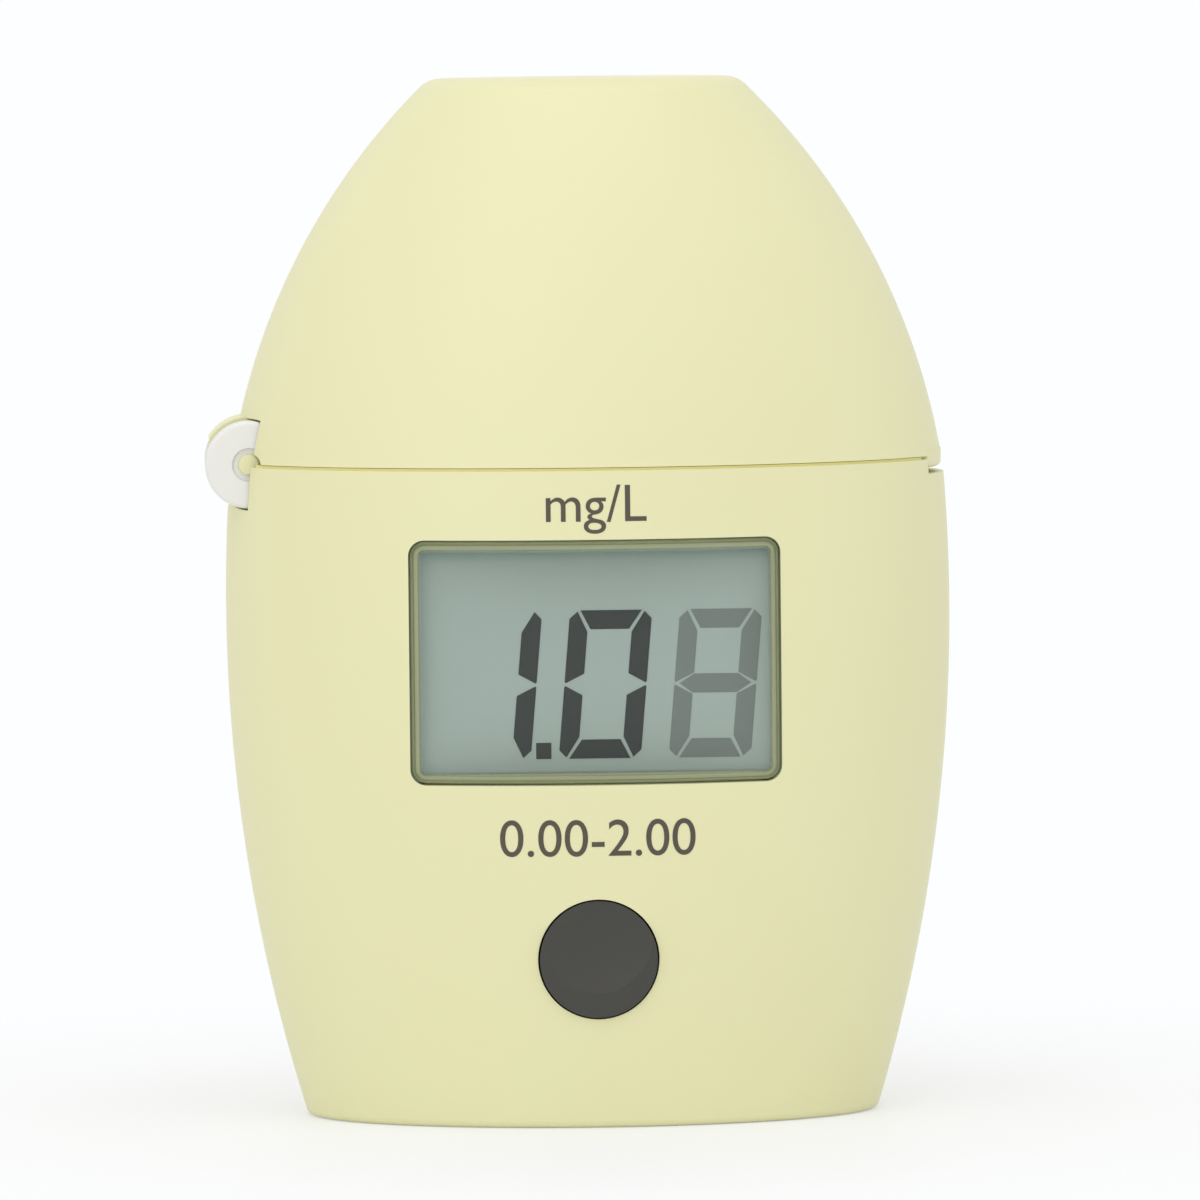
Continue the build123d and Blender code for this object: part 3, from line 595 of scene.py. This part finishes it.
class METER_OT_marks(bpy.types.Operator):
    """Printed unit and range, laid on the curved front of the case"""

    bl_idname = "meter.marks"
    bl_label = "Printed marks"

    def print_on_case(self, name, words, size, height, material, depth):
        """Words as a closed film that follows the case's front."""
        curve = bpy.data.curves.new(name, "FONT")
        curve.body = words
        curve.size = size
        curve.align_x, curve.align_y = "CENTER", "CENTER"
        curve.extrude = depth
        source = bpy.data.objects.new(name + "_text", curve)
        bpy.context.scene.collection.objects.link(source)
        piece = applied(source, name)
        case = NODES["front_shell"].data
        tree = BVHTree.FromPolygons(
            [v.co for v in case.vertices], [p.vertices for p in case.polygons]
        )
        for vertex in piece.data.vertices:
            x, z = vertex.co.x, vertex.co.y + height
            hit = tree.ray_cast(Vector((x, IN_FRONT, z)), Vector((0, 1, 0)))[0]
            vertex.co = (x, hit.y - vertex.co.z, z)
        piece.data.materials.clear()
        piece.data.materials.append(material)
        return settle(piece, "housing")

    def execute(self, context):
        colours, sizes, text = settings()
        ink = moulded("print_ink", colours.ink, scaled(colours.ink, 1.15), gloss=0.5, patch=400.0)
        above = WINDOW_HIGH.z + sizes.unit_rise
        below = WINDOW_LOW.z - sizes.range_drop
        self.print_on_case("unit_mark", text.unit, sizes.unit_height, above, ink, sizes.ink_depth)
        self.print_on_case("range_mark", text.span, sizes.range_height, below, ink, sizes.ink_depth)
        return {"FINISHED"}


class METER_OT_button(bpy.types.Operator):
    """Dark satin button"""

    bl_idname = "meter.button"
    bl_label = "Button"

    def execute(self, context):
        colours, _, _ = settings()
        material = moulded("button_plastic", colours.key, scaled(colours.key, 0.85), gloss=0.45, depth=0.12)
        dress("button_cap", material)
        return {"FINISHED"}


class METER_OT_hinge(bpy.types.Operator):
    """White bracket of the hinge"""

    bl_idname = "meter.hinge"
    bl_label = "Hinge"

    def execute(self, context):
        colours, _, _ = settings()
        white = moulded("white_plastic", colours.white_part, scaled(colours.white_part, 0.97), gloss=0.3)
        dress("hinge_bracket", white)
        return {"FINISHED"}


class METER_OT_screws(bpy.types.Operator):
    """Plated screws, contacts and the key's sprung dome"""

    bl_idname = "meter.screws"
    bl_label = "Screws and contacts"

    def execute(self, context):
        colours, _, _ = settings()
        plated = brushed("plated_steel", colours.plated, axis=0)
        for node in (
            "case_screws", "board_screws", "cover_screw", "contact_plus", "contact_minus", "key_switch"
        ):
            dress(node, plated)
        return {"FINISHED"}


class METER_OT_well(bpy.types.Operator):
    """Matt black sample well and sensor, and the tinted resin of the lamp"""

    bl_idname = "meter.well"
    bl_label = "Sample well"

    def execute(self, context):
        colours, _, _ = settings()
        black = moulded(
            "black_plastic", colours.black_part, scaled(colours.black_part, 1.3), gloss=0.6, depth=0.3
        )
        dress("sample_well", black)
        dress("light_sensor", black)
        lamp = moulded("lamp_resin", colours.lamp, colours.lamp_deep, gloss=0.12)
        dress("led_lamp", lamp)
        return {"FINISHED"}


TRACK_SCALE = 300.0
TRACK_GAP = 0.03
TRACK_BUMP = 0.00004
TRACK_TONES = (1.15, 2.2)
MASK_GLOSS = 0.3


class METER_OT_boards(bpy.types.Operator):
    """Circuit boards, chips and rubber strips"""

    bl_idname = "meter.boards"
    bl_label = "Boards"

    def solder_mask(self, colours):
        """Green mask over copper tracks that run along the board."""
        material, tree, shader, place = new_material("solder_mask")
        links = tree.links
        tracks = tree.nodes.new("ShaderNodeTexBrick")
        tracks.inputs["Scale"].default_value = TRACK_SCALE
        tracks.inputs["Mortar Size"].default_value = TRACK_GAP
        tracks.inputs["Color1"].default_value = rgba(colours.board)
        tracks.inputs["Color2"].default_value = rgba(scaled(colours.board, TRACK_TONES[0]))
        tracks.inputs["Mortar"].default_value = rgba(scaled(colours.board, TRACK_TONES[1]))
        turn = tree.nodes.new("ShaderNodeMapping")
        turn.inputs["Rotation"].default_value = (pi / 2, 0, 0)
        links.new(place.outputs["Object"], turn.inputs["Vector"])
        links.new(turn.outputs["Vector"], tracks.inputs["Vector"])
        links.new(tracks.outputs["Color"], shader.inputs["Base Color"])
        bump = tree.nodes.new("ShaderNodeBump")
        bump.inputs["Distance"].default_value = TRACK_BUMP
        links.new(tracks.outputs["Fac"], bump.inputs["Height"])
        links.new(bump.outputs["Normal"], shader.inputs["Normal"])
        shader.inputs["Roughness"].default_value = MASK_GLOSS
        return material

    def execute(self, context):
        colours, _, _ = settings()
        mask = self.solder_mask(colours)
        for node in ("main_board", "lamp_board", "sensor_board"):
            dress(node, mask)
        chip = moulded(
            "chip_plastic", colours.black_part, scaled(colours.black_part, 1.2), gloss=0.5, depth=0.2
        )
        dress("board_chips", chip)
        strip = moulded("strip_rubber", colours.strip, colours.strip_deep, gloss=0.6)
        dress("display_strips", strip)
        return {"FINISHED"}


# Bands along the cell, each from its share of the length to the next.
CELL_STOPS = ((0.0, "cell_end"), (0.025, "cell_sleeve"), (0.72, "cell_band"), (0.965, "cell_end"))
CELL_GRAIN = 900.0
CELL_GLOSS = (0.22, 0.34)
CELL_METAL = 0.6


class METER_OT_cell(bpy.types.Operator):
    """Plain printed sleeve of the cell, in two bands"""

    bl_idname = "meter.cell"
    bl_label = "Cell"

    def execute(self, context):
        colours, _, _ = settings()
        material, tree, shader, place = new_material("cell_sleeve")
        links = tree.links
        split = tree.nodes.new("ShaderNodeSeparateXYZ")
        links.new(place.outputs["Object"], split.inputs[0])
        along = tree.nodes.new("ShaderNodeMapRange")
        along.inputs["From Min"].default_value = CELL_LOW.x
        along.inputs["From Max"].default_value = CELL_HIGH.x
        links.new(split.outputs["X"], along.inputs["Value"])
        bands = ramp_node(tree, [(at, rgba(getattr(colours, name))) for at, name in CELL_STOPS])
        bands.color_ramp.interpolation = "CONSTANT"
        links.new(along.outputs["Result"], bands.inputs["Fac"])
        links.new(bands.outputs["Color"], shader.inputs["Base Color"])
        grain = tree.nodes.new("ShaderNodeTexNoise")
        grain.inputs["Scale"].default_value = CELL_GRAIN
        links.new(place.outputs["Object"], grain.inputs["Vector"])
        rough = tree.nodes.new("ShaderNodeMapRange")
        rough.inputs["To Min"].default_value = CELL_GLOSS[0]
        rough.inputs["To Max"].default_value = CELL_GLOSS[1]
        links.new(grain.outputs["Fac"], rough.inputs["Value"])
        links.new(rough.outputs["Result"], shader.inputs["Roughness"])
        shader.inputs["Metallic"].default_value = CELL_METAL
        dress("battery_cell", material)
        return {"FINISHED"}


CAMERA_DISTANCE = 1.0
CAMERA_HEIGHT = 0.102
CAMERA_SIDE = radians(-2.0)
CAMERA_ROLL = radians(-0.6)
FRAME_WIDTH = 0.0990
AIM = Vector((0.0010, 0.0, 0.0423))

FLOOR_RADIUS = 4.0
FLOOR_SIDES = 64
FLOOR_DROP = 0.02 * MM
FLOOR_GRAIN = 40.0
FLOOR_GLOSS = (0.5, 0.6)
BACKDROP = srgb(253, 254, 255)

# The floor blends into the backdrop, from the first share and distance to the second.
FADE_SHARES = (0.45, 1.0)
FADE_DISTANCES = (0.03, 0.11)

# Each soft light's name, place, width and height, and power in watts.
SOFTBOXES = (
    ("top_softbox", (0.0, -0.25, 0.75), (0.7, 0.7), 1.5),
    ("front_softbox", (-0.35, -0.9, 0.45), (0.6, 0.6), 1.4),
)
LIGHT_AIM = Vector((0, 0, 0.043))
WORLD_STRENGTH = 0.76


class METER_OT_stage(bpy.types.Operator):
    """Pale floor, soft light and the camera"""

    bl_idname = "meter.stage"
    bl_label = "Stage"

    def camera(self):
        data = bpy.data.cameras.new("camera")
        data.sensor_fit = "HORIZONTAL"
        data.lens = data.sensor_width * CAMERA_DISTANCE / FRAME_WIDTH
        data.clip_start = 0.05
        data.clip_end = 50.0
        eye = Vector((
            CAMERA_DISTANCE * sin(CAMERA_SIDE), -CAMERA_DISTANCE * cos(CAMERA_SIDE), CAMERA_HEIGHT
        ))
        item = bpy.data.objects.new("camera", data)
        turn = (AIM - eye).to_track_quat("-Z", "Y").to_matrix() @ Matrix.Rotation(CAMERA_ROLL, 3, "Z")
        item.matrix_world = Matrix.Translation(eye) @ turn.to_4x4()
        bpy.context.scene.collection.objects.link(item)
        bpy.context.scene.camera = item

    def softbox(self, name, place, size, power):
        data = bpy.data.lights.new(name, "AREA")
        data.shape = "RECTANGLE"
        data.size, data.size_y = size
        data.energy = power
        item = bpy.data.objects.new(name, data)
        item.location = place
        item.rotation_euler = (LIGHT_AIM - Vector(place)).to_track_quat("-Z", "Y").to_euler()
        bpy.context.scene.collection.objects.link(item)

    def world(self):
        """Even light on the object, with the backdrop's colour where it is seen."""
        world = bpy.data.worlds.new("studio")
        bpy.context.scene.world = world
        world.use_nodes = True
        tree = world.node_tree
        tree.nodes.clear()
        links = tree.links
        out = tree.nodes.new("ShaderNodeOutputWorld")
        mix = tree.nodes.new("ShaderNodeMixShader")
        light = tree.nodes.new("ShaderNodeBackground")
        light.inputs["Color"].default_value = (1, 1, 1, 1)
        light.inputs["Strength"].default_value = WORLD_STRENGTH
        seen = tree.nodes.new("ShaderNodeBackground")
        seen.inputs["Color"].default_value = rgba(BACKDROP)
        seen.inputs["Strength"].default_value = 1.0
        links.new(self.seen_directly(tree), mix.inputs["Fac"])
        links.new(light.outputs[0], mix.inputs[1])
        links.new(seen.outputs[0], mix.inputs[2])
        links.new(mix.outputs[0], out.inputs["Surface"])

    def seen_directly(self, tree):
        """1 for camera, mirror and see-through rays."""
        path = tree.nodes.new("ShaderNodeLightPath")
        first = tree.nodes.new("ShaderNodeMath")
        first.operation = "MAXIMUM"
        second = tree.nodes.new("ShaderNodeMath")
        second.operation = "MAXIMUM"
        tree.links.new(path.outputs["Is Camera Ray"], first.inputs[0])
        tree.links.new(path.outputs["Is Glossy Ray"], first.inputs[1])
        tree.links.new(first.outputs[0], second.inputs[0])
        tree.links.new(path.outputs["Is Transmission Ray"], second.inputs[1])
        return second.outputs[0]

    def floor(self, colours):
        """Pale disc that keeps the shadow and fades into the backdrop."""
        material, tree, shader, place = new_material("floor")
        links = tree.links
        grain = tree.nodes.new("ShaderNodeTexNoise")
        grain.inputs["Scale"].default_value = FLOOR_GRAIN
        links.new(place.outputs["Object"], grain.inputs["Vector"])
        rough = tree.nodes.new("ShaderNodeMapRange")
        rough.inputs["To Min"].default_value = FLOOR_GLOSS[0]
        rough.inputs["To Max"].default_value = FLOOR_GLOSS[1]
        links.new(grain.outputs["Fac"], rough.inputs["Value"])
        links.new(rough.outputs["Result"], shader.inputs["Roughness"])
        shader.inputs["Base Color"].default_value = rgba(colours.floor)
        glow = tree.nodes.new("ShaderNodeEmission")
        glow.inputs["Color"].default_value = rgba(BACKDROP)
        mix = tree.nodes.new("ShaderNodeMixShader")
        away = tree.nodes.new("ShaderNodeVectorMath")
        away.operation = "LENGTH"
        links.new(place.outputs["Object"], away.inputs[0])
        fade = tree.nodes.new("ShaderNodeMapRange")
        fade.interpolation_type = "SMOOTHSTEP"
        fade.inputs["From Min"].default_value = FADE_DISTANCES[0]
        fade.inputs["From Max"].default_value = FADE_DISTANCES[1]
        fade.inputs["To Min"].default_value = FADE_SHARES[0]
        fade.inputs["To Max"].default_value = FADE_SHARES[1]
        links.new(away.outputs["Value"], fade.inputs["Value"])
        share = tree.nodes.new("ShaderNodeMath")
        share.operation = "MULTIPLY"
        links.new(fade.outputs["Result"], share.inputs[1])
        links.new(self.seen_directly(tree), share.inputs[0])
        links.new(share.outputs[0], mix.inputs["Fac"])
        links.new(shader.outputs[0], mix.inputs[1])
        links.new(glow.outputs[0], mix.inputs[2])
        out = tree.nodes["Material Output"]
        links.new(mix.outputs[0], out.inputs["Surface"])
        turns = [2 * pi * i / FLOOR_SIDES for i in range(FLOOR_SIDES)]
        rim = [(FLOOR_RADIUS * cos(turn), FLOOR_RADIUS * sin(turn), 0) for turn in turns]
        ground = mesh_object("floor", rim, [list(range(FLOOR_SIDES))], material)
        ground.location.z = CAD_BOX[0][2] - FLOOR_DROP

    def execute(self, context):
        colours, _, _ = settings()
        self.floor(colours)
        self.world()
        for name, place, size, power in SOFTBOXES:
            self.softbox(name, place, size, power)
        self.camera()
        return {"FINISHED"}


STEPS = (
    METER_OT_stage, METER_OT_case, METER_OT_seam, METER_OT_window, METER_OT_display, METER_OT_marks,
    METER_OT_button, METER_OT_hinge, METER_OT_screws, METER_OT_well, METER_OT_boards, METER_OT_cell,
)


class METER_PT_sidebar(bpy.types.Panel):
    """The meter's parts and their settings"""

    bl_idname = "METER_PT_sidebar"
    bl_label = "Pocket colorimeter"
    bl_space_type = "VIEW_3D"
    bl_region_type = "UI"
    bl_category = "Meter"

    def draw(self, context):
        layout = self.layout
        for step in STEPS:
            layout.operator(step.bl_idname, text=step.bl_label)
        for group in settings():
            box = layout.box()
            for name in group.bl_rna.properties.keys():
                if name not in ("rna_type", "name"):
                    box.prop(group, name)


CLASSES = (MeterColours, MeterSizes, MeterText) + STEPS + (METER_PT_sidebar,)


def register():
    for item in CLASSES:
        bpy.utils.register_class(item)
    bpy.types.Scene.meter_colours = PointerProperty(type=MeterColours)
    bpy.types.Scene.meter_sizes = PointerProperty(type=MeterSizes)
    bpy.types.Scene.meter_text = PointerProperty(type=MeterText)


def unregister():
    del bpy.types.Scene.meter_text
    del bpy.types.Scene.meter_sizes
    del bpy.types.Scene.meter_colours
    for item in reversed(CLASSES):
        bpy.utils.unregister_class(item)


def main():
    register()
    bpy.context.scene.view_settings.view_transform = "Standard"
    for step in STEPS:
        family, name = step.bl_idname.split(".")
        getattr(getattr(bpy.ops, family), name)()


if __name__ == "__main__":
    main()
